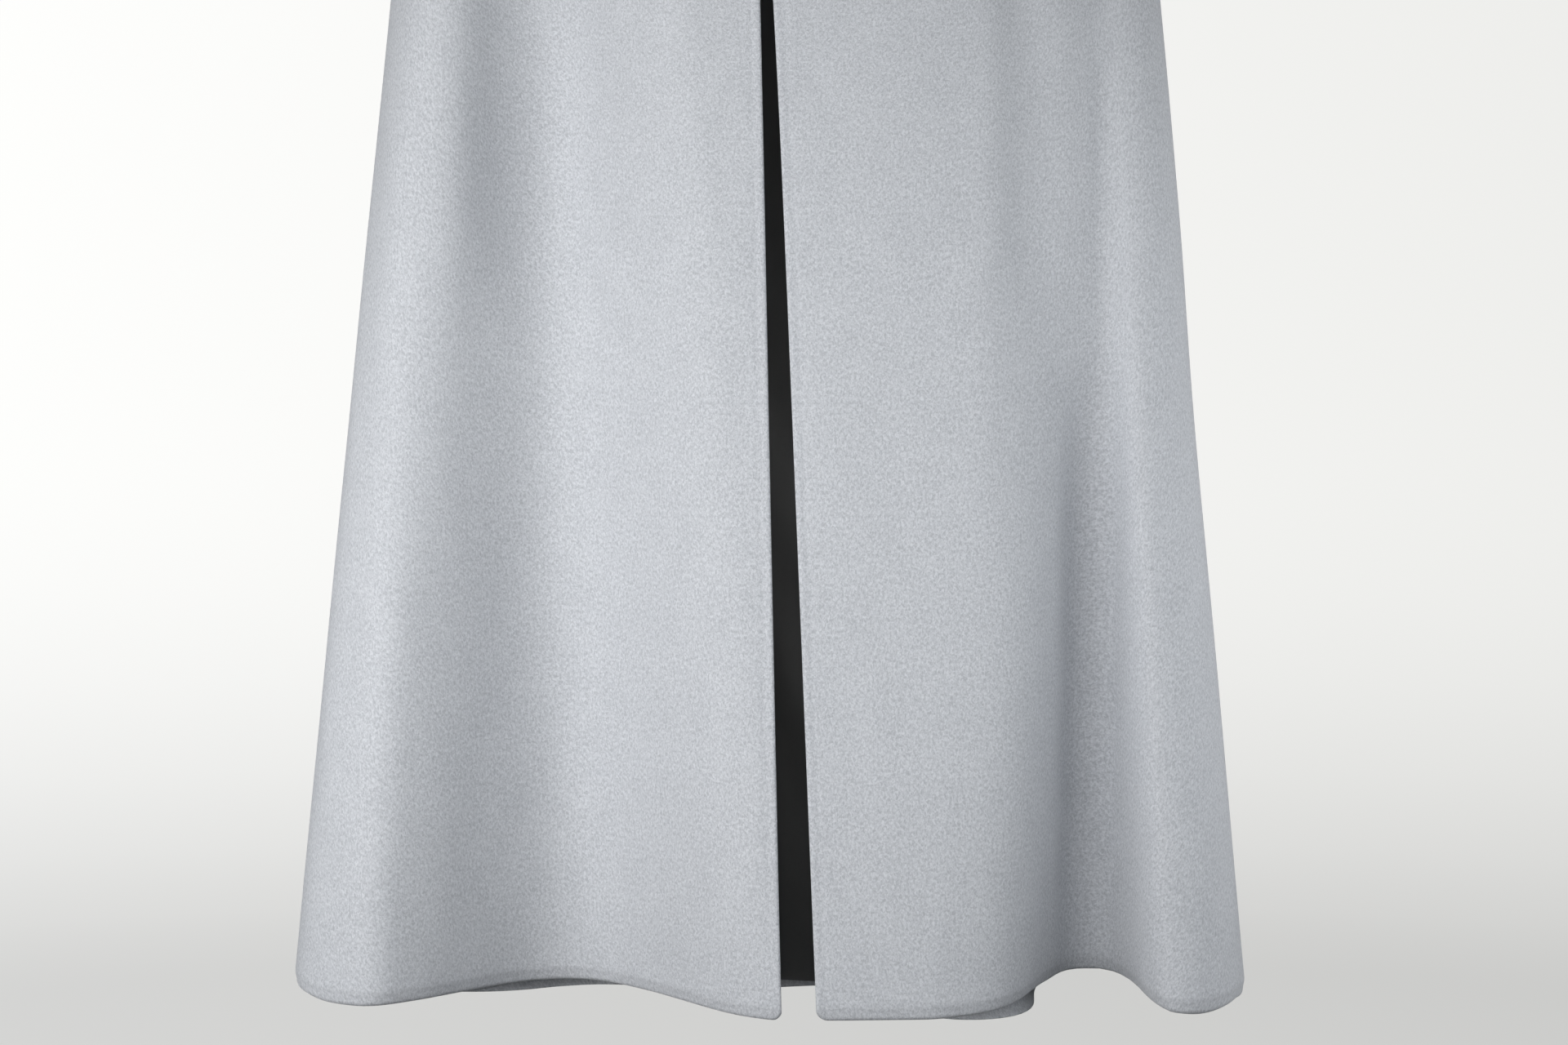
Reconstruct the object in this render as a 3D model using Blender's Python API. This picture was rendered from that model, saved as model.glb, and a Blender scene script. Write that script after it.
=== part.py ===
"""A long cape of thick felted wool, hollow as it hangs.

Two fronts meet edge to edge, a back joins them along seams that run from the neck over each shoulder to the
hem, a thin lining covers the inside of the back, and a wire hook and eye close the neck. Metres, +Z up. The
origin is the middle of the neck opening, level with the tops of the shoulders. -Y is the wearer's front and
+X the wearer's left.
"""

from collections import namedtuple

import bmesh
import bpy
import numpy as np

# Cloth
WOOL_THICKNESS = 0.0026
LINING_THICKNESS = 0.0010
CLEARANCE = 0.0003
HEM_TURN = 0.024        # height of the bare hem turning inside the cape
LINING_SAG = 0.0225     # how much lower the lining hangs at the middle of the back
SAG_SPREAD = 0.36       # share of the back's width over which the lining sags
EDGE_TURN = 0.006       # width of the turning along the front edges
CORNER_CUT = 0.0025     # height taken off the fronts' lower corners

# Rings of the cloth from the neck to the hem. run is the distance down the cloth at the side, middle_x the
# ring's middle, and squareness 2 is an ellipse.
Ring = namedtuple("Ring", "run middle_x half_width side_z front_y front_z back_y back_z squareness")
RINGS = (
    Ring(0.000, 0.0000, 0.0820, 0.000, -0.072, -0.085, 0.058, -0.014, 2.0),    # neck edge
    Ring(0.053, 0.0010, 0.1300, -0.023, -0.098, -0.132, 0.080, -0.058, 2.0),   # shoulder slope
    Ring(0.111, 0.0020, 0.1800, -0.053, -0.115, -0.186, 0.094, -0.114, 2.1),   # shoulder
    Ring(0.165, 0.0030, 0.2120, -0.096, -0.123, -0.246, 0.098, -0.180, 2.2),   # shoulder point
    Ring(0.270, 0.0040, 0.2320, -0.200, -0.123, -0.332, 0.096, -0.275, 2.3),   # upper arm
    Ring(0.432, 0.0040, 0.2490, -0.360, -0.117, -0.442, 0.090, -0.405, 2.4),   # waist
    Ring(0.753, 0.0025, 0.2797, -0.680, -0.110, -0.710, 0.076, -0.695, 2.5),   # thigh
    Ring(1.075, 0.0017, 0.3095, -0.997, -0.110, -1.000, 0.064, -1.008, 2.5),   # hem
)
LENGTH = RINGS[-1].run

# Front edges across the opening, at three distances down the cloth.
Edge = namedtuple("Edge", "run right_x left_x")
EDGES = (
    Edge(0.000, -0.0078, -0.0072),
    Edge(0.337, -0.0030, 0.0055),
    Edge(1.075, 0.0095, 0.0310),
)

# Folds that fall from the shoulders and press into the cape, from where each starts to the hem. Places are
# shares of the ring's half width, minus on the wearer's right. A depth below 0 is a ridge. hem_lift is how
# far the hem rises, rounding how much the walls steepen between round ridges and floor, and lean the share by
# which a fold is wider towards the wearer's right than towards the left.
Fold = namedtuple(
    "Fold",
    "panel start_run start_at start_half_width hem_at hem_half_width hem_depth hem_lift rounding lean growth",
)
FOLDS = (
    Fold("right_front", 0.06, -0.61, 0.065, -0.42, 0.142, 0.104, 0.0060, 0.00, 0.00, 0.8),
    Fold("left_front", 0.20, 0.83, 0.035, 0.69, 0.078, 0.090, 0.0130, 0.34, 0.53, 1.8),
    Fold("left_front", 0.25, 0.86, 0.025, 0.88, 0.036, -0.020, -0.0027, 0.00, 0.00, 1.8),
    Fold("back", 0.14, -0.66, 0.050, -0.66, 0.090, 0.034, 0.0000, 0.20, 0.00, 1.2),
    Fold("back", 0.30, -0.16, 0.040, -0.12, 0.070, 0.016, 0.0000, 0.00, 0.00, 1.3),
    Fold("back", 0.18, 0.52, 0.045, 0.42, 0.078, 0.086, -0.0080, 0.45, 0.00, 1.5),
    Fold("back", 0.25, 0.70, 0.040, 0.71, 0.062, -0.040, 0.0050, 0.00, 0.00, 1.4),
)

# Neck fastening of bent wire. Places along it count from the opening towards its nose.
WIRE = 0.0011
FASTENING_X = -0.0075
FASTENING_RUN = 0.011
LOOP_RADIUS = 0.0021
LOOP_OPENS = -370       # degrees round the sewing loop where its wire begins
LOOP_ENDS = -90         # and where it runs into the arm
HOOK_LOOP_AT = -0.0100
HOOK_ARM_BESIDE = 0.0011
HOOK_BEND_AT = 0.0030
HOOK_BILL_END = -0.0030
BEND_RADIUS = 0.0014
EYE_LOOP_AT = -0.0125
EYE_ARM_BESIDE = 0.0035
EYE_RISE = 0.0040       # length over which the eye's arms rise to its bar
EYE_CORNER = 0.0015
ARC_STEP = 33           # degrees between the wire's points on a bend

# Grids
ROW_COUNT = 20
ROW_BIAS = 1.6          # draws the rows together towards the neck
FRONT_COLUMNS = 37
BACK_COLUMNS = 44
SAMPLES = 361
STEP = 0.001            # distance used to find a slope
SPLITS = {"right_front": "FIXED", "left_front": "ALTERNATE", "back": "FIXED"}    # diagonals along the folds


def clear_scene():
    for item in list(bpy.data.objects):
        bpy.data.objects.remove(item)


def ring_at(run):
    """Sizes of the ring at a distance down the cloth, on smooth curves through the table's rows."""
    table = np.array(RINGS)
    runs = table[:, 0]
    slopes = np.gradient(table, runs, axis=0)
    lower = int(np.clip(np.searchsorted(runs, run), 1, len(runs) - 1))
    upper = lower - 1
    span = runs[lower] - runs[upper]
    t = (run - runs[upper]) / span
    values = (1 + 2 * t) * (1 - t) ** 2 * table[upper] + t * t * (3 - 2 * t) * table[lower]
    values += t * (1 - t) ** 2 * span * slopes[upper] + t * t * (t - 1) * span * slopes[lower]
    return Ring(*values)


def edge_angle(ring, edge_x):
    """Angle round the ring, from its middle front, of a place beside the opening."""
    across = (edge_x - ring.middle_x) / ring.half_width
    return np.sign(across) * np.arcsin(abs(across) ** (ring.squareness / 2))


def panel_angles(panel, ring):
    """First and last angle of a panel: 0 is the middle front and a quarter turn the wearer's left side."""
    if panel == "back":
        return np.pi / 2, 3 * np.pi / 2
    column = "right_x" if panel == "right_front" else "left_x"
    runs = [edge.run for edge in EDGES]
    curve = np.polyfit(runs, [getattr(edge, column) for edge in EDGES], len(EDGES) - 1)
    side = -np.pi / 2 if panel == "right_front" else np.pi / 2
    return edge_angle(ring, np.polyval(curve, ring.run)), side


def ring_points(ring, angles):
    """Points of the plain ring, with no folds."""
    sine = np.sin(angles)
    cosine = np.cos(angles)
    power = 2 / ring.squareness
    front = cosine > 0
    x = ring.middle_x + ring.half_width * np.sign(sine) * abs(sine) ** power
    y = np.where(front, ring.front_y, ring.back_y) * abs(cosine) ** power
    z = ring.side_z + (np.where(front, ring.front_z, ring.back_z) - ring.side_z) * cosine ** 2
    return np.stack([x, y, z], axis=1)


def press_folds(panel, ring, points):
    """Move a row of points by the folds of its panel."""
    inward = -1 if panel == "back" else 1
    across = points[:, 0].copy()
    for fold in FOLDS:
        progress = (ring.run - fold.start_run) / (LENGTH - fold.start_run)
        if fold.panel != panel or progress <= 0:
            continue
        growth = progress ** fold.growth
        share = fold.start_at + (fold.hem_at - fold.start_at) * progress
        half_width = fold.start_half_width + (fold.hem_half_width - fold.start_half_width) * progress
        middle = ring.middle_x + ring.half_width * share
        width = half_width * np.where(across < middle, 1 + fold.lean, 1 - fold.lean)
        place = np.clip((across - middle) / width, -1, 1)
        bump = growth * (1 + np.cos(np.pi * place)) / 2
        widening = width * fold.rounding * growth * np.sin(2 * np.pi * place) / (2 * np.pi)
        points += np.stack([widening, inward * bump * fold.hem_depth, bump * fold.hem_lift], axis=1)


def front_places(width):
    """Column places on a front: its edge, its turning, then even steps to half a clearance from the seam."""
    even = np.linspace(EDGE_TURN, width - CLEARANCE / 2, FRONT_COLUMNS - 1)
    return np.concatenate([[0], even])


def back_places(width):
    """Column places on the back, even from seam to seam."""
    return np.linspace(CLEARANCE / 2, width - CLEARANCE / 2, BACK_COLUMNS)


def row_at(panel, run, shift=0.0):
    """Points of a panel's columns at a distance down the cloth, each moved along the row by the shift."""
    ring = ring_at(run)
    first, last = panel_angles(panel, ring)
    points = ring_points(ring, np.linspace(first, last, SAMPLES))
    press_folds(panel, ring, points)
    lengths = np.linalg.norm(np.diff(points, axis=0), axis=1)
    along = np.concatenate([[0], np.cumsum(lengths)])
    places = back_places if panel == "back" else front_places
    wanted = places(along[-1]) + shift
    return np.stack([np.interp(wanted, along, points[:, axis]) for axis in range(3)], axis=1)


def hem_turn(panel, columns):
    """Height of the turning's upper edge above the hem at each column of a panel."""
    turn = np.full(columns, HEM_TURN)
    if panel == "back":
        place = np.clip(np.linspace(-1, 1, columns) / SAG_SPREAD, -1, 1)
        turn -= LINING_SAG * (1 + np.cos(np.pi * place)) / 2
    return turn


def panel_grid(panel):
    """Outer points of a panel, row by row from the neck to the hem, and the way out of the cloth at each."""
    runs = LENGTH * np.linspace(0, 1, ROW_COUNT) ** ROW_BIAS
    rows = []
    outs = []
    for run in runs:
        down = row_at(panel, run + STEP) - row_at(panel, run - STEP)
        across = row_at(panel, run, STEP) - row_at(panel, run, -STEP)
        out = np.cross(down, across)
        out /= np.linalg.norm(out, axis=1)[:, None]
        if panel == "right_front":
            out = -out
        rows.append(row_at(panel, run))
        outs.append(out)
    turn = hem_turn(panel, len(rows[-1]))
    share = (turn / np.linalg.norm(rows[-1] - rows[-2], axis=1))[:, None]
    rows.insert(-1, rows[-1] + (rows[-2] - rows[-1]) * share)
    outs.insert(-1, outs[-1] + (outs[-2] - outs[-1]) * share)
    if panel != "back":
        rows[-1][0] += (0, 0, CORNER_CUT)
    return np.array(rows), np.array(outs)


def add_layer(bm, points, split):
    """One face of a wall: a grid of triangles through rows of points, its quads split the given way."""
    rows, columns = points.shape[:2]
    layer = bmesh.ops.create_grid(bm, x_segments=columns - 1, y_segments=rows - 1, size=1)["verts"]
    for vert in layer:
        column = round((vert.co.x + 1) / 2 * (columns - 1))
        row = round((vert.co.y + 1) / 2 * (rows - 1))
        vert.co = points[row, column]
    faces = list({face for vert in layer for face in vert.link_faces})
    bmesh.ops.triangulate(bm, faces=faces, quad_method=split)


def add_wall(name, outer, inner, split, material):
    """A closed wall between an outer and an inner grid of points."""
    bm = bmesh.new()
    add_layer(bm, outer, split)
    add_layer(bm, inner, split)
    rims = [edge for edge in bm.edges if edge.is_boundary]
    bmesh.ops.bridge_loops(bm, edges=rims)
    bmesh.ops.recalc_face_normals(bm, faces=bm.faces)
    mesh = bpy.data.meshes.new(name)
    bm.to_mesh(mesh)
    bm.free()
    mesh.materials.append(material)
    mesh.shade_smooth()
    wall = bpy.data.objects.new(name, mesh)
    bpy.context.collection.objects.link(wall)


def front_seat(run, x, height):
    """A point inside the fronts near the neck, at a height above where a wire would lie on the cloth."""
    def on_cloth(at_run, at_x):
        ring = ring_at(at_run)
        return ring_points(ring, np.array([edge_angle(ring, at_x)]))[0]

    down = on_cloth(run + STEP, x) - on_cloth(run - STEP, x)
    across = on_cloth(run, x + STEP) - on_cloth(run, x - STEP)
    inward = np.cross(across, down)
    inward /= np.linalg.norm(inward)
    return on_cloth(run, x) + inward * (WOOL_THICKNESS + CLEARANCE + WIRE / 2 + height)


def arc(first, last):
    """Angles from the first to the last in radians, both given in degrees."""
    return np.radians(np.linspace(first, last, 1 + round((last - first) / ARC_STEP)))


def sewing_loop(loop_at, arm_beside):
    """The open ring that a wire is sewn down by, ending where its arm begins: along, beside and height."""
    path = []
    for turn in arc(LOOP_OPENS, LOOP_ENDS):
        along = loop_at + LOOP_RADIUS * np.cos(turn)
        beside = arm_beside + LOOP_RADIUS * (1 + np.sin(turn))
        path.append((along, beside, 0))
    return path


def hook_half():
    """Half of the hook: its loop, its arm, the bend that lifts it, and the bill that turns back."""
    path = sewing_loop(HOOK_LOOP_AT, HOOK_ARM_BESIDE)
    for turn in arc(0, 180):
        along = HOOK_BEND_AT + BEND_RADIUS * np.sin(turn)
        path.append((along, HOOK_ARM_BESIDE, BEND_RADIUS * (1 - np.cos(turn))))
    for turn in arc(0, 90):
        along = HOOK_BILL_END + HOOK_ARM_BESIDE * (1 - np.sin(turn))
        path.append((along, HOOK_ARM_BESIDE * np.cos(turn), 2 * BEND_RADIUS))
    return path


def eye_half():
    """Half of the eye: its loop, its rising arm, and the rounded corner of the bar in the hook's bend."""
    bar_at = -HOOK_BEND_AT
    corner_at = bar_at - EYE_CORNER
    path = sewing_loop(EYE_LOOP_AT, EYE_ARM_BESIDE)
    path.append((corner_at - EYE_RISE, EYE_ARM_BESIDE, 0))
    for turn in arc(0, 90):
        beside = EYE_ARM_BESIDE - EYE_CORNER * (1 - np.cos(turn))
        path.append((corner_at + EYE_CORNER * np.sin(turn), beside, BEND_RADIUS))
    path.append((bar_at, 0, BEND_RADIUS))
    return path


def add_wire(name, half, toward, material):
    """A wire through half a path and its mirror image; toward is +1 where its nose points to the left."""
    path = half + [(along, -beside, height) for along, beside, height in reversed(half[:-1])]
    curve = bpy.data.curves.new(name, "CURVE")
    curve.dimensions = "3D"
    curve.bevel_depth = WIRE / 2
    curve.bevel_resolution = 2
    curve.use_fill_caps = True
    spline = curve.splines.new("POLY")
    spline.points.add(len(path) - 1)
    for point, (along, beside, height) in zip(spline.points, path):
        place = front_seat(FASTENING_RUN + beside, FASTENING_X + toward * along, height)
        point.co = (*place, 1)
    curve.materials.append(material)
    wire = bpy.data.objects.new(name, curve)
    bpy.context.collection.objects.link(wire)


def plain_material(name, colour, roughness, metallic=0.0):
    material = bpy.data.materials.new(name)
    material.use_nodes = True
    shader = material.node_tree.nodes["Principled BSDF"]
    shader.inputs["Base Color"].default_value = (*colour, 1)
    shader.inputs["Roughness"].default_value = roughness
    shader.inputs["Metallic"].default_value = metallic
    return material


clear_scene()
wool = plain_material("felted_wool", (0.56, 0.58, 0.62), 0.95)
satin = plain_material("black_lining", (0.04, 0.04, 0.039), 0.5)
steel = plain_material("plated_wire", (0.55, 0.55, 0.56), 0.35, 1.0)

for panel_name in ("right_front", "left_front", "back"):
    outer_points, out_directions = panel_grid(panel_name)
    inner_points = outer_points - WOOL_THICKNESS * out_directions
    add_wall(panel_name, outer_points, inner_points, SPLITS[panel_name], wool)
    if panel_name == "back":
        lining_outer = (inner_points - CLEARANCE * out_directions)[1:-1]
        lining_inner = lining_outer - LINING_THICKNESS * out_directions[1:-1]
        add_wall("back_lining", lining_outer, lining_inner, SPLITS["back"], satin)

add_wire("neck_hook", hook_half(), 1, steel)
add_wire("neck_eye", eye_half(), -1, steel)
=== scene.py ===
"""A long cape of pale felted wool: thick cloth with turned edges and deep soft folds, a black back lining,
and a sewn hook and eye at the neck, before a pale studio sweep in soft light.
"""

import math
from collections import namedtuple

import bmesh
import bpy
import numpy as np
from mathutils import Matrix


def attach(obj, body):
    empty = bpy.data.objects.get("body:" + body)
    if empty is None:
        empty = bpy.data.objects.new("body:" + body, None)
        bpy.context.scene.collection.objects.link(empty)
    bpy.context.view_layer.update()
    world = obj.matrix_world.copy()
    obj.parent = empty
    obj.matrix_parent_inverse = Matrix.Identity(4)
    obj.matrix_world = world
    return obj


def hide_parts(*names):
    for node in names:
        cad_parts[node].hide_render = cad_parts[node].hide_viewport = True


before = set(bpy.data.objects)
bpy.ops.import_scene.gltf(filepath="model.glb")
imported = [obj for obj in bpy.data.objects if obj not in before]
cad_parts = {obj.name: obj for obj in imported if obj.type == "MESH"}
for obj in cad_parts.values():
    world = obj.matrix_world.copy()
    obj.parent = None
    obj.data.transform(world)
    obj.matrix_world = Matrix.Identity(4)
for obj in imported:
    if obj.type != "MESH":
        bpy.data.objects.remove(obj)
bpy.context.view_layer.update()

# The camera stands level before the lower half of the cape, as for a close view of its hem, a little to the
# wearer's left of its middle.
CAMERA_PLACE = (0.011, -1.71, -0.694)
CAMERA_LENS = 60
SENSOR_WIDTH = 36

camera = bpy.data.objects.new("camera", bpy.data.cameras.new("camera"))
camera.data.lens = CAMERA_LENS
camera.data.sensor_width = SENSOR_WIDTH
camera.location = CAMERA_PLACE
camera.rotation_euler = (math.radians(90), 0, 0)
bpy.context.scene.collection.objects.link(camera)
bpy.context.scene.camera = camera
bpy.context.scene.view_settings.view_transform = "Standard"

# The two fronts: thick felted wool, cut in one piece each from the neck over the shoulder to the hem. Their
# edges are turned in and caught down by hand, which leaves a soft roll and a shallow groove beside it.
WOOL_THICKNESS = 0.0026
SEAM_GAP = 0.0003
EDGE_ROLL = 0.0062          # width of the roll along a turned edge
ROLL_RISE = 0.00035         # how much it stands out on each face
GROOVE_WIDTH = 0.0020
GROOVE_DEPTH = 0.00028
NOSE = 0.0024               # over which an edge rounds off
NOSE_STEPS = 6
CORNER_RADIUS = 0.007
HEM_CURL = 0.0035           # how far the hem's edge curls in, and from what height
HEM_CURL_REACH = 0.012
END_CLOSENESS = 0.72        # 0 spreads the grid evenly, 1 draws it close at the ends
ROW_COUNT = 230
FRONT_COLUMNS = 136
SAMPLES = 721

Ring = namedtuple("Ring", "run middle_x half_width side_z front_y front_z back_y back_z squareness")
RINGS = (
    Ring(0.000, 0.0000, 0.0820, 0.000, -0.072, -0.085, 0.058, -0.014, 2.0),    # neck edge
    Ring(0.053, 0.0010, 0.1300, -0.023, -0.098, -0.132, 0.080, -0.058, 2.0),   # shoulder slope
    Ring(0.111, 0.0020, 0.1800, -0.053, -0.115, -0.186, 0.094, -0.114, 2.1),   # shoulder
    Ring(0.165, 0.0030, 0.2120, -0.096, -0.123, -0.246, 0.098, -0.180, 2.2),   # shoulder point
    Ring(0.270, 0.0040, 0.2320, -0.200, -0.123, -0.332, 0.096, -0.275, 2.3),   # upper arm
    Ring(0.432, 0.0040, 0.2490, -0.360, -0.117, -0.442, 0.090, -0.405, 2.4),   # waist
    Ring(0.753, 0.0025, 0.2797, -0.680, -0.110, -0.710, 0.076, -0.695, 2.5),   # thigh
    Ring(1.075, 0.0017, 0.3095, -0.997, -0.110, -1.000, 0.064, -1.008, 2.5),   # hem
)
LENGTH = RINGS[-1].run

Edge = namedtuple("Edge", "run right_x left_x")
EDGES = (
    Edge(0.000, -0.0078, -0.0072),
    Edge(0.337, -0.0034, 0.0045),
    Edge(1.075, 0.0095, 0.0310),
)

# Folds that fall to the hem, at shares of the ring's half width. A depth below 0 is a ridge, and a side's
# fold runs over its seam, onto the front and the back.
Fold = namedtuple(
    "Fold",
    "panel start_run start_at start_half_width hem_at hem_half_width hem_depth hem_lift rounding lean growth",
)
SIDES = {"right_side": ("right_front", "back"), "left_side": ("left_front", "back")}
FOLDS = (
    Fold("right_front", 0.06, -0.61, 0.065, -0.42, 0.142, 0.104, 0.0060, 0.00, 0.00, 0.8),
    Fold("right_side", 0.80, -1.00, 0.020, -1.00, 0.030, 0.000, 0.0036, 0.00, 0.00, 1.5),
    Fold("left_front", 0.20, 0.83, 0.035, 0.695, 0.078, 0.084, 0.0113, 0.35, 0.53, 1.8),
    Fold("left_side", 0.25, 0.95, 0.030, 0.884, 0.044, -0.014, -0.0032, 0.00, 0.00, 1.6),
    Fold("left_side", 0.80, 1.00, 0.010, 1.00, 0.009, 0.000, -0.0022, 0.00, 0.00, 1.5),
    Fold("back", 0.14, -0.66, 0.050, -0.66, 0.090, 0.034, 0.0000, 0.20, 0.00, 1.2),
    Fold("back", 0.30, -0.16, 0.040, -0.12, 0.070, 0.016, 0.0000, 0.00, 0.00, 1.3),
    Fold("back", 0.18, 0.52, 0.045, 0.42, 0.077, 0.096, -0.0062, 0.75, 0.00, 1.5),
    Fold("back", 0.25, 0.70, 0.040, 0.71, 0.062, -0.040, 0.0050, 0.00, 0.00, 1.4),
)

# Soft creases on and between the folds, each along a line down the cloth, with a trough's depth above 0.
Crease = namedtuple("Crease", "panel from_run to_run from_x to_x half_width depth")
CREASES = (
    Crease("right_front", 0.12, 0.65, -0.139, -0.145, 0.055, 0.0115),    # beside the arm
    Crease("right_front", 0.20, 0.66, -0.203, -0.212, 0.040, -0.0060),
    Crease("right_front", 0.03, 0.20, -0.058, -0.090, 0.026, 0.0025),    # off the neck
    Crease("right_front", 0.30, 1.30, -0.226, -0.252, 0.024, -0.0020),
    Crease("left_front", 0.14, 0.68, 0.156, 0.166, 0.028, 0.0050),       # two beside the arm
    Crease("left_front", 0.16, 0.68, 0.207, 0.227, 0.021, 0.0045),
    Crease("left_front", 0.16, 0.74, 0.231, 0.258, 0.030, -0.0045),
    Crease("left_front", 0.60, 1.50, 0.158, 0.158, 0.042, -0.0080),      # brow of the deep fold
    Crease("left_front", 0.60, 1.15, 0.204, 0.204, 0.025, 0.0125),       # floor of the deep fold
    Crease("left_front", 0.03, 0.22, 0.062, 0.105, 0.028, 0.0025),       # off the neck
    Crease("back", 0.04, 0.36, -0.070, -0.120, 0.036, 0.0040),           # off the shoulders
    Crease("back", 0.05, 0.42, 0.080, 0.118, 0.034, 0.0040),
    Crease("back", 0.16, 0.85, 0.012, 0.030, 0.050, 0.0050),             # down the middle
    Crease("back", 0.40, 1.35, -0.098, -0.112, 0.034, -0.0040),
    Crease("back", 0.45, 1.30, 0.052, 0.046, 0.030, -0.0030),
)
FADE = 0.3                  # share of a crease's length over which each end dies away
SEAM_HOLD = 0.03            # width beside a seam over which creases die away


def ring_at(run):
    """Sizes of the ring at a distance down the cloth, on smooth curves through the table's rows."""
    table = np.array(RINGS)
    runs = table[:, 0]
    slopes = np.gradient(table, runs, axis=0)
    lower = int(np.clip(np.searchsorted(runs, run), 1, len(runs) - 1))
    upper = lower - 1
    span = runs[lower] - runs[upper]
    t = (run - runs[upper]) / span
    values = (1 + 2 * t) * (1 - t) ** 2 * table[upper] + t * t * (3 - 2 * t) * table[lower]
    values += t * (1 - t) ** 2 * span * slopes[upper] + t * t * (t - 1) * span * slopes[lower]
    return Ring(*values)


def edge_angle(ring, edge_x):
    """Angle round the ring, from its middle front, of a place beside the opening."""
    across = (edge_x - ring.middle_x) / ring.half_width
    return np.sign(across) * np.arcsin(abs(across) ** (ring.squareness / 2))


def panel_angles(panel, ring):
    """First and last angle of a panel: 0 is the middle front and a quarter turn the wearer's left side."""
    if panel == "back":
        return np.pi / 2, 3 * np.pi / 2
    column = "right_x" if panel == "right_front" else "left_x"
    runs = [edge.run for edge in EDGES]
    curve = np.polyfit(runs, [getattr(edge, column) for edge in EDGES], len(EDGES) - 1)
    side = -np.pi / 2 if panel == "right_front" else np.pi / 2
    return edge_angle(ring, np.polyval(curve, ring.run)), side


def ring_points(ring, angles):
    """Points of the plain ring, with no folds."""
    sine = np.sin(angles)
    cosine = np.cos(angles)
    power = 2 / ring.squareness
    front = cosine > 0
    x = ring.middle_x + ring.half_width * np.sign(sine) * abs(sine) ** power
    y = np.where(front, ring.front_y, ring.back_y) * abs(cosine) ** power
    z = ring.side_z + (np.where(front, ring.front_z, ring.back_z) - ring.side_z) * cosine ** 2
    return np.stack([x, y, z], axis=1)


def press_folds(panel, ring, points):
    """Move a row of points by the folds of its panel."""
    across = points[:, 0].copy()
    for fold in FOLDS:
        progress = (ring.run - fold.start_run) / (LENGTH - fold.start_run)
        if panel not in SIDES.get(fold.panel, (fold.panel,)) or progress <= 0:
            continue
        inward = -1 if fold.panel == "back" else 1
        growth = progress ** fold.growth
        share = fold.start_at + (fold.hem_at - fold.start_at) * progress
        half_width = fold.start_half_width + (fold.hem_half_width - fold.start_half_width) * progress
        middle = ring.middle_x + ring.half_width * share
        width = half_width * np.where(across < middle, 1 + fold.lean, 1 - fold.lean)
        place = np.clip((across - middle) / width, -1, 1)
        bump = growth * (1 + np.cos(np.pi * place)) / 2
        widening = width * fold.rounding * growth * np.sin(2 * np.pi * place) / (2 * np.pi)
        points += np.stack([widening, inward * bump * fold.hem_depth, bump * fold.hem_lift], axis=1)


def places(length, count):
    """Distances along a panel from edge to edge, close together where its edges round off."""
    nose = NOSE * (1 - np.cos(np.linspace(0, np.pi / 2, NOSE_STEPS)))
    share = np.linspace(0, 1, count - 2 * NOSE_STEPS + 2)
    share -= END_CLOSENESS * np.sin(2 * np.pi * share) / (2 * np.pi)
    middle = NOSE + (length - 2 * NOSE) * share[1:-1]
    return np.concatenate([nose, middle, length - nose[::-1]])


Face = namedtuple("Face", "points across down out sideways downhill to_seam to_hem")


def panel_face(panel, columns):
    """The panel's outer face: rows of points, with distances along the cloth and directions at each."""
    rows = []
    across = []
    runs = places(LENGTH, ROW_COUNT)
    start = SEAM_GAP / 2 if panel == "back" else 0
    for run in runs:
        ring = ring_at(run)
        line = ring_points(ring, np.linspace(*panel_angles(panel, ring), SAMPLES))
        press_folds(panel, ring, line)
        along = np.concatenate([[0], np.cumsum(np.linalg.norm(np.diff(line, axis=0), axis=1))])
        wanted = places(along[-1] - SEAM_GAP / 2 - start, columns)
        rows.append(np.stack([np.interp(start + wanted, along, line[:, axis]) for axis in range(3)], axis=1))
        across.append(wanted)
    points = np.array(rows)
    across = np.array(across)
    down = np.repeat(runs[:, None], columns, axis=1)
    downhill = np.gradient(points, axis=0)
    sideways = np.gradient(points, axis=1)
    out = np.cross(downhill, sideways)
    if panel == "right_front":
        out = -out
    out, sideways, downhill = (v / np.linalg.norm(v, axis=2)[..., None] for v in (out, sideways, downhill))
    to_seam = across[:, -1:] - across
    if panel == "back":
        to_seam = np.minimum(to_seam, across)
    return Face(points, across, down, out, sideways, downhill, to_seam, LENGTH - down)


def smooth(share):
    """A share held between 0 and 1 that eases in and out."""
    share = np.clip(share, 0, 1)
    return share * share * (3 - 2 * share)


def creases(panel, face):
    """How far the soft creases of a panel press it in at each point."""
    pressed = np.zeros_like(face.down)
    for crease in CREASES:
        if crease.panel != panel:
            continue
        share = (face.down - crease.from_run) / (crease.to_run - crease.from_run)
        middle = crease.from_x + (crease.to_x - crease.from_x) * share
        place = np.clip((face.points[..., 0] - middle) / crease.half_width, -1, 1)
        fade = smooth(share / FADE) * smooth((1 - share) / FADE)
        pressed += crease.depth * fade * (1 + np.cos(np.pi * place)) / 2
    return pressed * smooth(face.to_seam / SEAM_HOLD)


def hem_curl(face):
    """How far the hem's edge curls in at each point."""
    return HEM_CURL * np.clip(1 - face.to_hem / HEM_CURL_REACH, 0, 1) ** 2


WAVE_LENGTHS = (0.045, 0.06, 0.08, 0.11, 0.16, 0.22)
WAVE_HEIGHT = 0.00012
WAVE_SLANT = 0.5            # greatest turn of a wave from upright, in radians


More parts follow.
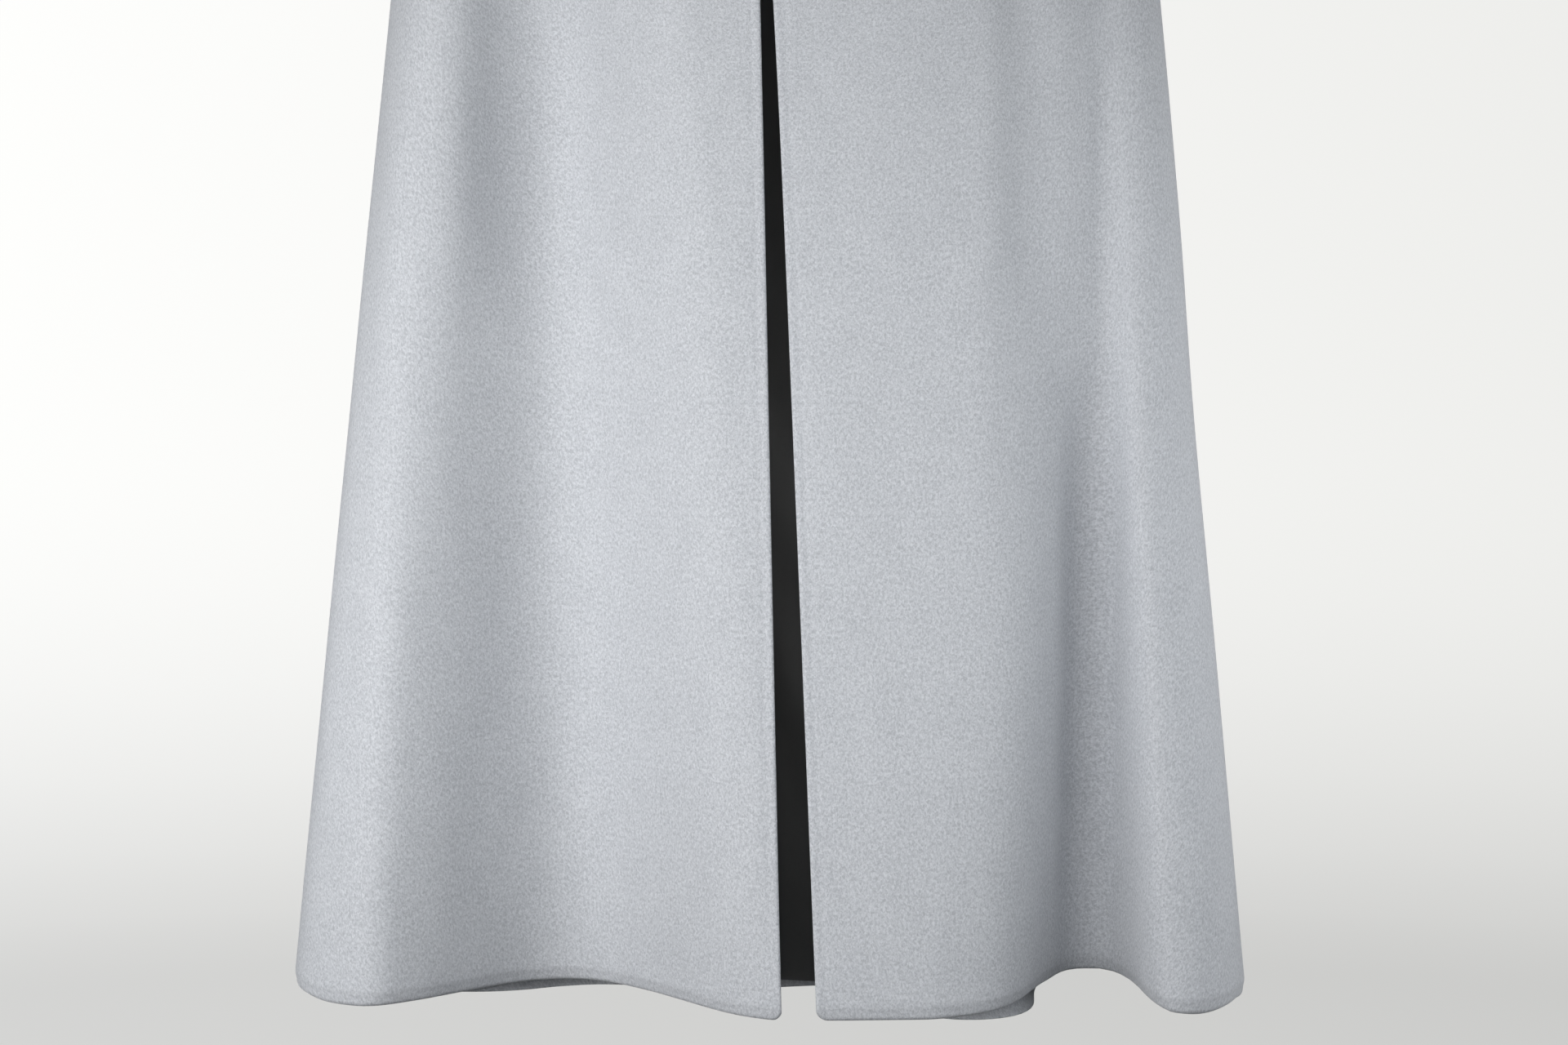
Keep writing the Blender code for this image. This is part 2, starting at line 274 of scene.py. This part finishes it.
def waves(face, seed):
    """Slight unevenness of hanging cloth, in waves of a few lengths and slants."""
    draw = np.random.default_rng(seed)
    height = np.zeros_like(face.down)
    for length in WAVE_LENGTHS:
        slant = draw.uniform(-WAVE_SLANT, WAVE_SLANT)
        start = draw.uniform(0, 2 * np.pi)
        turn = face.across * np.cos(slant) + face.down * np.sin(slant) / 2
        height += WAVE_HEIGHT * np.sin(2 * np.pi * turn / length + start)
    return height * smooth(face.to_seam / SEAM_HOLD)


def nose(distance):
    """Share of the wall's half thickness at a distance from an edge that rounds off."""
    return np.sqrt(1 - (1 - np.clip(distance / NOSE, 0, 1)) ** 2)


def turned_edge(distance):
    """How much a turned edge stands out at a distance from it: a soft roll, then the groove beside it."""
    roll = ROLL_RISE * np.cos(np.pi / 2 * np.clip(distance / EDGE_ROLL, 0, 1)) ** 2
    groove = GROOVE_DEPTH * np.exp(-((distance - EDGE_ROLL) / GROOVE_WIDTH) ** 2)
    return roll - groove


def round_corner(points, from_edge, from_end, sideways, inward):
    """Draw the points near a corner of the cloth in to a round one."""
    p = np.clip(1 - from_edge / CORNER_RADIUS, 0, 1)
    q = np.clip(1 - from_end / CORNER_RADIUS, 0, 1)
    draw_in = CORNER_RADIUS * p * (1 - np.sqrt(1 - q * q / 2))
    draw_up = CORNER_RADIUS * q * (1 - np.sqrt(1 - p * p / 2))
    return points + draw_in[..., None] * sideways + draw_up[..., None] * inward


def add_face_grid(bm, points):
    """One face of a wall: a grid through rows of points."""
    rows, columns = points.shape[:2]
    layer = bmesh.ops.create_grid(bm, x_segments=columns - 1, y_segments=rows - 1, size=1, calc_uvs=True)
    for vert in layer["verts"]:
        column = round((vert.co.x + 1) / 2 * (columns - 1))
        row = round((vert.co.y + 1) / 2 * (rows - 1))
        vert.co = points[row, column]


def cloth_wall(name, middle, half, out, across, down):
    """A closed wall of cloth about its middle face, with its distances along the cloth as its UV map."""
    rows, columns = across.shape
    bm = bmesh.new()
    bm.loops.layers.uv.new("cloth")
    add_face_grid(bm, middle + half[..., None] * out)
    add_face_grid(bm, middle - half[..., None] * out)
    bmesh.ops.remove_doubles(bm, verts=bm.verts, dist=1e-7)
    bmesh.ops.recalc_face_normals(bm, faces=bm.faces)
    mesh = bpy.data.meshes.new(name)
    bm.to_mesh(mesh)
    bm.free()
    corners = np.zeros(2 * len(mesh.loops), np.float32)
    mesh.uv_layers["cloth"].data.foreach_get("uv", corners)
    column = np.rint(corners[0::2] * (columns - 1)).astype(int)
    row = np.rint(corners[1::2] * (rows - 1)).astype(int)
    corners[0::2] = across[row, column]
    corners[1::2] = -down[row, column]
    mesh.uv_layers["cloth"].data.foreach_set("uv", corners)
    mesh.shade_smooth()
    wall = bpy.data.objects.new(name, mesh)
    bpy.context.scene.collection.objects.link(wall)
    return wall


class Shade:
    """A socket in a material. Sums, differences and products of shades and numbers add Math nodes."""

    def __init__(self, finish, socket):
        self.finish = finish
        self.socket = socket

    def math(self, operation, first, second):
        return self.finish.add("ShaderNodeMath", {"operation": operation}, {0: first, 1: second})

    def __add__(self, other):
        return self.math("ADD", self, other)

    __radd__ = __add__

    def __sub__(self, other):
        return self.math("SUBTRACT", self, other)

    def __rsub__(self, other):
        return self.math("SUBTRACT", other, self)

    def __mul__(self, other):
        return self.math("MULTIPLY", self, other)

    __rmul__ = __mul__


class Finish:
    """A material that is being put together, with its Principled shader."""

    def __init__(self, name):
        self.material = bpy.data.materials.new(name)
        self.material.use_nodes = True
        self.tree = self.material.node_tree
        self.surface = self.tree.nodes["Principled BSDF"]

    def fill(self, node, sockets):
        for key, value in sockets.items():
            if isinstance(value, Shade):
                self.tree.links.new(value.socket, node.inputs[key])
            else:
                node.inputs[key].default_value = value

    def add(self, kind, settings, sockets, output=0):
        node = self.tree.nodes.new(kind)
        for key, value in settings.items():
            setattr(node, key, value)
        self.fill(node, sockets)
        return Shade(self, node.outputs[output])

    def noise(self, place, stretch, detail=2.0, roughness=0.5, distortion=0.0):
        """Noise whose grains are as long each way as stretch says, in metres."""
        scale = [1 / length for length in stretch]
        grains = self.add("ShaderNodeVectorMath", {"operation": "MULTIPLY"}, {0: place, 1: scale})
        return self.add("ShaderNodeTexNoise", {}, {
            "Vector": grains,
            "Scale": 1.0,
            "Detail": detail,
            "Roughness": roughness,
            "Distortion": distortion,
        })

    def blend(self, share, first, second):
        settings = {"data_type": "RGBA", "clamp_factor": True}
        return self.add("ShaderNodeMix", settings, {0: share, 6: first, 7: second}, output=2)

    def bump(self, height, distance, strength):
        return self.add("ShaderNodeBump", {}, {"Strength": strength, "Distance": distance, "Height": height})


# The wool's two tones mix a random grain with painted shade where the nap lies low.
WOOL_LIGHT = (0.700, 0.717, 0.750, 1)
WOOL_SHADE = (0.455, 0.472, 0.504, 1)
NAP_GRAIN = (0.0015, 0.0025, 1)
NAP_FIBRE = (0.0007, 0.0014, 1)
NAP_CLOUD = (0.022, 0.034, 1)
GRAIN_SHARE = 0.65          # how much of the nap is grain, and the rest fibre
NAP_CONTRAST = 3.7
CLOUD_CONTRAST = 0.3
NAP_HEIGHT = 0.0005
NAP_BUMP = 0.8
WOOL_ROUGHNESS = 0.92
WOOL_ROUGHNESS_SPREAD = 0.1
WOOL_SHEEN = 0.35
WOOL_SHEEN_ROUGHNESS = 0.5
WOOL_SHINE = 0.2


def felted_wool():
    """Thick milled wool: a pebbly nap that runs down the cloth, pale where it stands high and darker in its
    low places, partly random grain and partly painted shade in the hollows.
    """
    finish = Finish("felted_wool")
    cloth = finish.add("ShaderNodeUVMap", {"uv_map": "cloth"}, {})
    grain = finish.noise(cloth, NAP_GRAIN, detail=2.0, roughness=0.6, distortion=0.6)
    fibre = finish.noise(cloth, NAP_FIBRE, detail=1.0)
    cloud = finish.noise(cloth, NAP_CLOUD)
    nap = grain * GRAIN_SHARE + fibre * (1 - GRAIN_SHARE)
    # The colour follows the nap's bump height: random grain, with painted shade in the nap's hollows.
    nap_tone_and_hollow_shade = 0.5 + (nap - 0.5) * NAP_CONTRAST + (cloud - 0.5) * CLOUD_CONTRAST
    finish.fill(finish.surface, {
        "Base Color": finish.blend(nap_tone_and_hollow_shade, WOOL_SHADE, WOOL_LIGHT),
        "Roughness": WOOL_ROUGHNESS + (nap - 0.5) * WOOL_ROUGHNESS_SPREAD,
        "Normal": finish.bump(nap, NAP_HEIGHT, NAP_BUMP),
        "Sheen Weight": WOOL_SHEEN,
        "Sheen Roughness": WOOL_SHEEN_ROUGHNESS,
        "Specular IOR Level": WOOL_SHINE,
    })
    return finish.material


wool = felted_wool()

Front = namedtuple("Front", "panel cut_width cut_length cut_area seed")
FRONTS = (
    Front("right_front", 0.46, 1.10, 0.34, 3),
    Front("left_front", 0.50, 1.10, 0.35, 8),
)

for front in FRONTS:
    face = panel_face(front.panel, FRONT_COLUMNS)
    points = round_corner(face.points, face.across, face.to_hem, face.sideways, -face.downhill)
    points = round_corner(points, face.across, face.down, face.sideways, face.downhill)
    depth = WOOL_THICKNESS / 2 + creases(front.panel, face) + hem_curl(face) - waves(face, front.seed)
    free_edge = np.minimum(np.minimum(face.across, face.down), face.to_hem)
    half = (WOOL_THICKNESS / 2 + turned_edge(free_edge)) * nose(free_edge) * nose(face.to_seam)
    cloth = cloth_wall(
        front.panel + "_cloth", points - depth[..., None] * face.out, half, face.out, face.across, face.down)
    cloth.data.materials.append(wool)
    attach(cloth, "root")
    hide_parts(front.panel)

# The back: one piece of the same wool, cut on the fold, seamed to the fronts over the shoulders and down the
# sides. Only its neck and hem are turned edges.
BACK_COLUMNS = 200
BACK_SEED = 5

back_face = panel_face("back", BACK_COLUMNS)
back_press = creases("back", back_face) + hem_curl(back_face) - waves(back_face, BACK_SEED)
free_edge = np.minimum(back_face.down, back_face.to_hem)
half = (WOOL_THICKNESS / 2 + turned_edge(free_edge)) * nose(free_edge) * nose(back_face.to_seam)
middle = back_face.points - (WOOL_THICKNESS / 2 + back_press)[..., None] * back_face.out
back = cloth_wall("back_cloth", middle, half, back_face.out, back_face.across, back_face.down)
back.data.materials.append(wool)
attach(back, "root")
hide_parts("back")

# The lining of the back: smooth black cloth, felled to the wool along the seams, below the neck edge and
# above the hem's turning. It sags a little at the middle, down to just above the hem.
LINING_THICKNESS = 0.0010
LINING_TOP = 0.0102         # its upper edge's distance below the neck edge
HEM_TURN = 0.024            # height of the bare hem turning
LINING_SAG = 0.0225
SAG_SPREAD = 0.36           # share of the back's width over which the lining sags
LINING_ROWS = 170
RIPPLE = 0.0007             # greatest depth of the lining's slack
RIPPLE_LENGTH = 0.062
RIPPLE_SLANT = 9            # radians that a ripple moves on by in each metre down
# The lining's colours are painted lighter than black satin: painted light standing in for light that barely
# reaches it inside the cape.
LINING_DARK = (0.090, 0.090, 0.088, 1)
LINING_LIGHT = (0.160, 0.159, 0.155, 1)
LINING_THREAD = (0.0032, 0.0004, 1)
LINING_CLOUD = (0.03, 0.05, 1)
LINING_THREAD_HEIGHT = 0.0001
LINING_BUMP = 0.3
LINING_ROUGHNESS = 0.42
LINING_ROUGHNESS_SPREAD = 0.2
LINING_SHEEN = 0.1

sag_place = np.clip(np.linspace(-1, 1, BACK_COLUMNS) / SAG_SPREAD, -1, 1)
lining_ends = LENGTH - HEM_TURN + LINING_SAG * (1 + np.cos(np.pi * sag_place)) / 2
lining_half = np.full((LINING_ROWS, BACK_COLUMNS), LINING_THICKNESS / 2)
lining_down = np.zeros_like(lining_half)
lining_middle = np.zeros(lining_half.shape + (3,))
lining_out = np.zeros_like(lining_middle)
for column, end in enumerate(lining_ends):
    lining_down[:, column] = LINING_TOP + places(end - LINING_TOP, LINING_ROWS)
    runs = back_face.down[:, column]
    ripple_turn = 2 * np.pi * back_face.across[:, column] / RIPPLE_LENGTH + RIPPLE_SLANT * runs
    slack = RIPPLE * (1 + np.sin(ripple_turn)) / 2
    slack *= smooth(back_face.to_seam[:, column] / SEAM_HOLD)
    below = WOOL_THICKNESS + SEAM_GAP + LINING_THICKNESS / 2 + back_press[:, column] + slack
    line = back_face.points[:, column] - below[:, None] * back_face.out[:, column]
    for axis in range(3):
        lining_middle[:, column, axis] = np.interp(lining_down[:, column], runs, line[:, axis])
        lining_out[:, column, axis] = np.interp(lining_down[:, column], runs, back_face.out[:, column, axis])
lining_half *= nose(lining_down - LINING_TOP) * nose(lining_ends - lining_down)
lining_half[:, [0, -1]] = 0
lining_across = np.repeat(back_face.across[-1:], LINING_ROWS, axis=0)
lining = cloth_wall("lining_cloth", lining_middle, lining_half, lining_out, lining_across, lining_down)


def satin_lining():
    """Close black satin: fine threads that lie across the cloth, with a soft low sheen; its colour is painted
    a lighter grey than black satin, as painted light.
    """
    finish = Finish("black_lining")
    cloth = finish.add("ShaderNodeUVMap", {"uv_map": "cloth"}, {})
    thread = finish.noise(cloth, LINING_THREAD)
    cloud = finish.noise(cloth, LINING_CLOUD)
    finish.fill(finish.surface, {
        "Base Color": finish.blend(thread * 0.5 + cloud * 0.5, LINING_DARK, LINING_LIGHT),
        "Roughness": LINING_ROUGHNESS + (thread - 0.5) * LINING_ROUGHNESS_SPREAD,
        "Normal": finish.bump(thread, LINING_THREAD_HEIGHT, LINING_BUMP),
        "Sheen Weight": LINING_SHEEN,
    })
    return finish.material


lining.data.materials.append(satin_lining())
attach(lining, "root")
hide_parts("back_lining")

# The hook and eye: bent plated wire, sewn inside the neck by the two small loops at the end of each. The
# stitches go over the wire of each loop and into the wool.
WIRE = 0.0011
FASTENING_X = -0.0075
FASTENING_RUN = 0.011
LOOP_RADIUS = 0.0021
THREAD = 0.0004
STITCHES = 7
STITCH_REACH = 0.0013       # how far a stitch goes down into the wool on each side of the wire
STITCH_STEPS = 7
WIRE_LIGHT = (0.62, 0.62, 0.63, 1)
WIRE_DARK = (0.40, 0.40, 0.41, 1)
WIRE_MARK = (0.0006, 0.0006, 0.0002)
WIRE_MARK_HEIGHT = 0.00003
WIRE_BUMP = 0.3
WIRE_ROUGHNESS = 0.28
WIRE_ROUGHNESS_SPREAD = 0.15
THREAD_LIGHT = (0.62, 0.64, 0.69, 1)
THREAD_DARK = (0.42, 0.44, 0.48, 1)
THREAD_TWIST = (0.0003, 0.0003, 0.0003)
THREAD_TWIST_HEIGHT = 0.00005
THREAD_BUMP = 0.5
THREAD_ROUGHNESS = 0.8
STEP = 0.001                # between the points that give the cloth's slope at a seat


def front_seat(run, x, height):
    """A point inside the fronts near the neck, at a height above the wool's inner face."""
    def on_cloth(at_run, at_x):
        ring = ring_at(at_run)
        return ring_points(ring, np.array([edge_angle(ring, at_x)]))[0]

    down = on_cloth(run + STEP, x) - on_cloth(run - STEP, x)
    across = on_cloth(run, x + STEP) - on_cloth(run, x - STEP)
    inward = np.cross(across, down)
    inward /= np.linalg.norm(inward)
    return on_cloth(run, x) + inward * (WOOL_THICKNESS + height)


def plated_wire():
    """Nickel-plated wire, with fine marks along it from drawing."""
    finish = Finish("plated_wire")
    place = finish.add("ShaderNodeTexCoord", {}, {}, output=3)
    mark = finish.noise(place, WIRE_MARK)
    finish.fill(finish.surface, {
        "Base Color": finish.blend(mark, WIRE_DARK, WIRE_LIGHT),
        "Metallic": 1.0,
        "Roughness": WIRE_ROUGHNESS + mark * WIRE_ROUGHNESS_SPREAD,
        "Normal": finish.bump(mark, WIRE_MARK_HEIGHT, WIRE_BUMP),
    })
    return finish.material


def sewing_thread():
    """Twisted thread of the wool's own colour."""
    finish = Finish("sewing_thread")
    place = finish.add("ShaderNodeTexCoord", {}, {}, output=3)
    twist = finish.noise(place, THREAD_TWIST)
    finish.fill(finish.surface, {
        "Base Color": finish.blend(twist, THREAD_DARK, THREAD_LIGHT),
        "Roughness": THREAD_ROUGHNESS,
        "Normal": finish.bump(twist, THREAD_TWIST_HEIGHT, THREAD_BUMP),
    })
    return finish.material


steel = plated_wire()
thread = sewing_thread()

Sewn = namedtuple("Sewn", "name node loop_at arm_beside toward")
SEWN = (
    Sewn("hook_stitches", "neck_hook", -0.0100, 0.0011, 1),
    Sewn("eye_stitches", "neck_eye", -0.0125, 0.0035, -1),
)

for sewn in SEWN:
    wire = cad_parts[sewn.node]
    for material_slot in wire.material_slots:
        material_slot.link = "OBJECT"
        material_slot.material = steel
    curve = bpy.data.curves.new(sewn.name, "CURVE")
    curve.dimensions = "3D"
    curve.bevel_depth = THREAD / 2
    curve.bevel_resolution = 1
    curve.use_fill_caps = True
    for side in (-1, 1):
        for stitch in range(STITCHES):
            turn = 2 * math.pi * (stitch + 0.5) / STITCHES
            spline = curve.splines.new("POLY")
            spline.points.add(STITCH_STEPS - 1)
            for point, arch in zip(spline.points, np.linspace(0, math.pi, STITCH_STEPS)):
                radius = LOOP_RADIUS - STITCH_REACH * math.cos(arch)
                along = sewn.loop_at + radius * math.cos(turn)
                beside = side * (sewn.arm_beside + LOOP_RADIUS) + radius * math.sin(turn)
                height = (WIRE + SEAM_GAP + THREAD) * math.sin(arch) - THREAD / 2
                place = front_seat(FASTENING_RUN + beside, FASTENING_X + sewn.toward * along, height)
                point.co = (*place, 1)
    curve.materials.append(thread)
    stitches = bpy.data.objects.new(sewn.name, curve)
    bpy.context.scene.collection.objects.link(stitches)
    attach(stitches, "root")

# The studio: a pale floor that sweeps up all round at a distance, a broad soft light on the wearer's right, a
# weaker one on the left and a small one in front, two that catch the sides from behind, one for the back, one
# above, and a faint even glow.
FLOOR_Z = -1.45
FLOOR_RADIUS = 3.0
SWEEP_RADIUS = 2.5
SWEEP_TOP = 6.0
SWEEP_STEPS = 12
SPIN_STEPS = 96
FLOOR_COLOUR = (0.25, 0.25, 0.25, 1)
FLOOR_ROUGHNESS = 0.9
# The sweep glows by itself with painted light. It is brightest on the wearer's right, where the main lamp
# stands, and dims toward the other side.
SWEEP_PAINTED_BRIGHT = (1.00, 1.00, 0.985, 1)
SWEEP_PAINTED_DIM = (0.83, 0.83, 0.81, 1)
SWEEP_REACH = 5.0           # distance from side to side over which the sweep's painted light goes from bright to dim
FLOOR_PAINTED_SHADE_SHARE = 0.67          # the floor's glow, painted darker as painted shade, as a share of the sweep's
FLOOR_FADE = (2.7, 5.0)     # distances from the middle between which one goes over to the other

bm = bmesh.new()
profile = [bm.verts.new((0, 0, FLOOR_Z))]
for turn in np.linspace(0, math.pi / 2, SWEEP_STEPS):
    reach = FLOOR_RADIUS + SWEEP_RADIUS * math.sin(turn)
    profile.append(bm.verts.new((reach, 0, FLOOR_Z + SWEEP_RADIUS * (1 - math.cos(turn)))))
profile.append(bm.verts.new((FLOOR_RADIUS + SWEEP_RADIUS, 0, SWEEP_TOP)))
line = [bm.edges.new(pair) for pair in zip(profile[:-1], profile[1:])]
bmesh.ops.spin(bm, geom=profile + line, cent=(0, 0, 0), axis=(0, 0, 1), angle=2 * math.pi, steps=SPIN_STEPS,
               use_merge=True)
bmesh.ops.remove_doubles(bm, verts=bm.verts, dist=1e-5)
bmesh.ops.recalc_face_normals(bm, faces=bm.faces)
bmesh.ops.reverse_faces(bm, faces=bm.faces)
floor_mesh = bpy.data.meshes.new("floor")
bm.to_mesh(floor_mesh)
bm.free()
floor_mesh.shade_smooth()
floor = bpy.data.objects.new("floor", floor_mesh)
bpy.context.scene.collection.objects.link(floor)
floor.visible_shadow = False
floor.visible_diffuse = False
floor.visible_glossy = False

paint = Finish("pale_floor_painted_light")
spot = paint.add("ShaderNodeTexCoord", {}, {}, output=3)
from_left = paint.add("ShaderNodeSeparateXYZ", {}, {0: spot})
level_spot = paint.add("ShaderNodeVectorMath", {"operation": "MULTIPLY"}, {0: spot, 1: (1, 1, 0)})
from_middle = paint.add("ShaderNodeVectorMath", {"operation": "LENGTH"}, {0: level_spot}, output=1)
# Painted light and shade: the glow fades from the main lamp's side to the other, and is darker on the floor
# near the middle.
painted_light_share = paint.add("ShaderNodeMapRange", {"interpolation_type": "SMOOTHSTEP"},
                 {"Value": from_middle, "From Min": FLOOR_FADE[0], "From Max": FLOOR_FADE[1],
                  "To Min": FLOOR_PAINTED_SHADE_SHARE, "To Max": 1.0})
painted_sweep_light = paint.blend(0.5 + from_left * (1 / SWEEP_REACH), SWEEP_PAINTED_BRIGHT, SWEEP_PAINTED_DIM)
paint.fill(paint.surface, {
    "Base Color": FLOOR_COLOUR,
    "Roughness": FLOOR_ROUGHNESS,
    "Emission Color": paint.blend(painted_light_share, (0, 0, 0, 1), painted_sweep_light),
    "Emission Strength": 1.0,
})
floor_mesh.materials.append(paint.material)

Lamp = namedtuple("Lamp", "name place aim width height watts spread colour")
LAMPS = (
    Lamp("right_light", (-0.763, -0.977, -0.66), (0.0, 0.0, -0.66), 1.3, 0.6, 7.3, 126, (1.00, 1.00, 1.0)),
    Lamp("front_light", (0.0, -1.76, -0.66), (0.0, 0.0, -0.66), 0.35, 0.35, 3.2, 150, (1.00, 1.00, 1.0)),
    Lamp("left_light", (0.841, -0.348, -0.66), (0.0, 0.0, -0.66), 1.0, 0.6, 2.0, 130, (0.96, 0.98, 1.0)),
    Lamp("right_rim", (-1.07, 0.33, -0.66), (0.0, 0.0, -0.66), 0.8, 0.6, 1.0, 180, (0.90, 0.95, 1.0)),
    Lamp("left_rim", (1.07, 0.33, -0.66), (0.0, 0.0, -0.66), 0.8, 0.6, 2.8, 180, (1.00, 1.00, 1.0)),
    Lamp("back_light", (0.0, 1.6, -0.45), (0.0, 0.0, -0.55), 1.4, 1.0, 16.0, 180, (1.00, 1.00, 1.0)),
    Lamp("top_light", (0.0, 0.2, 1.3), (0.0, 0.0, 0.0), 1.0, 1.0, 10.0, 180, (1.00, 1.00, 1.0)),
)
GLOW = (0.55, 0.80, 1.0, 1)
GLOW_STRENGTH = 0.015

for lamp in LAMPS:
    light = bpy.data.lights.new(lamp.name, "AREA")
    light.shape = "RECTANGLE"
    light.size = lamp.width
    light.size_y = lamp.height
    light.energy = lamp.watts
    light.spread = math.radians(lamp.spread)
    light.color = lamp.colour
    holder = bpy.data.objects.new(lamp.name, light)
    holder.location = lamp.place
    ray = np.array(lamp.aim) - np.array(lamp.place)
    holder.rotation_euler = (math.acos(-ray[2] / np.linalg.norm(ray)), 0, math.atan2(-ray[0], ray[1]))
    holder.visible_camera = False
    bpy.context.scene.collection.objects.link(holder)

world = bpy.data.worlds.new("glow")
world.use_nodes = True
world.node_tree.nodes["Background"].inputs["Color"].default_value = GLOW
world.node_tree.nodes["Background"].inputs["Strength"].default_value = GLOW_STRENGTH
bpy.context.scene.world = world
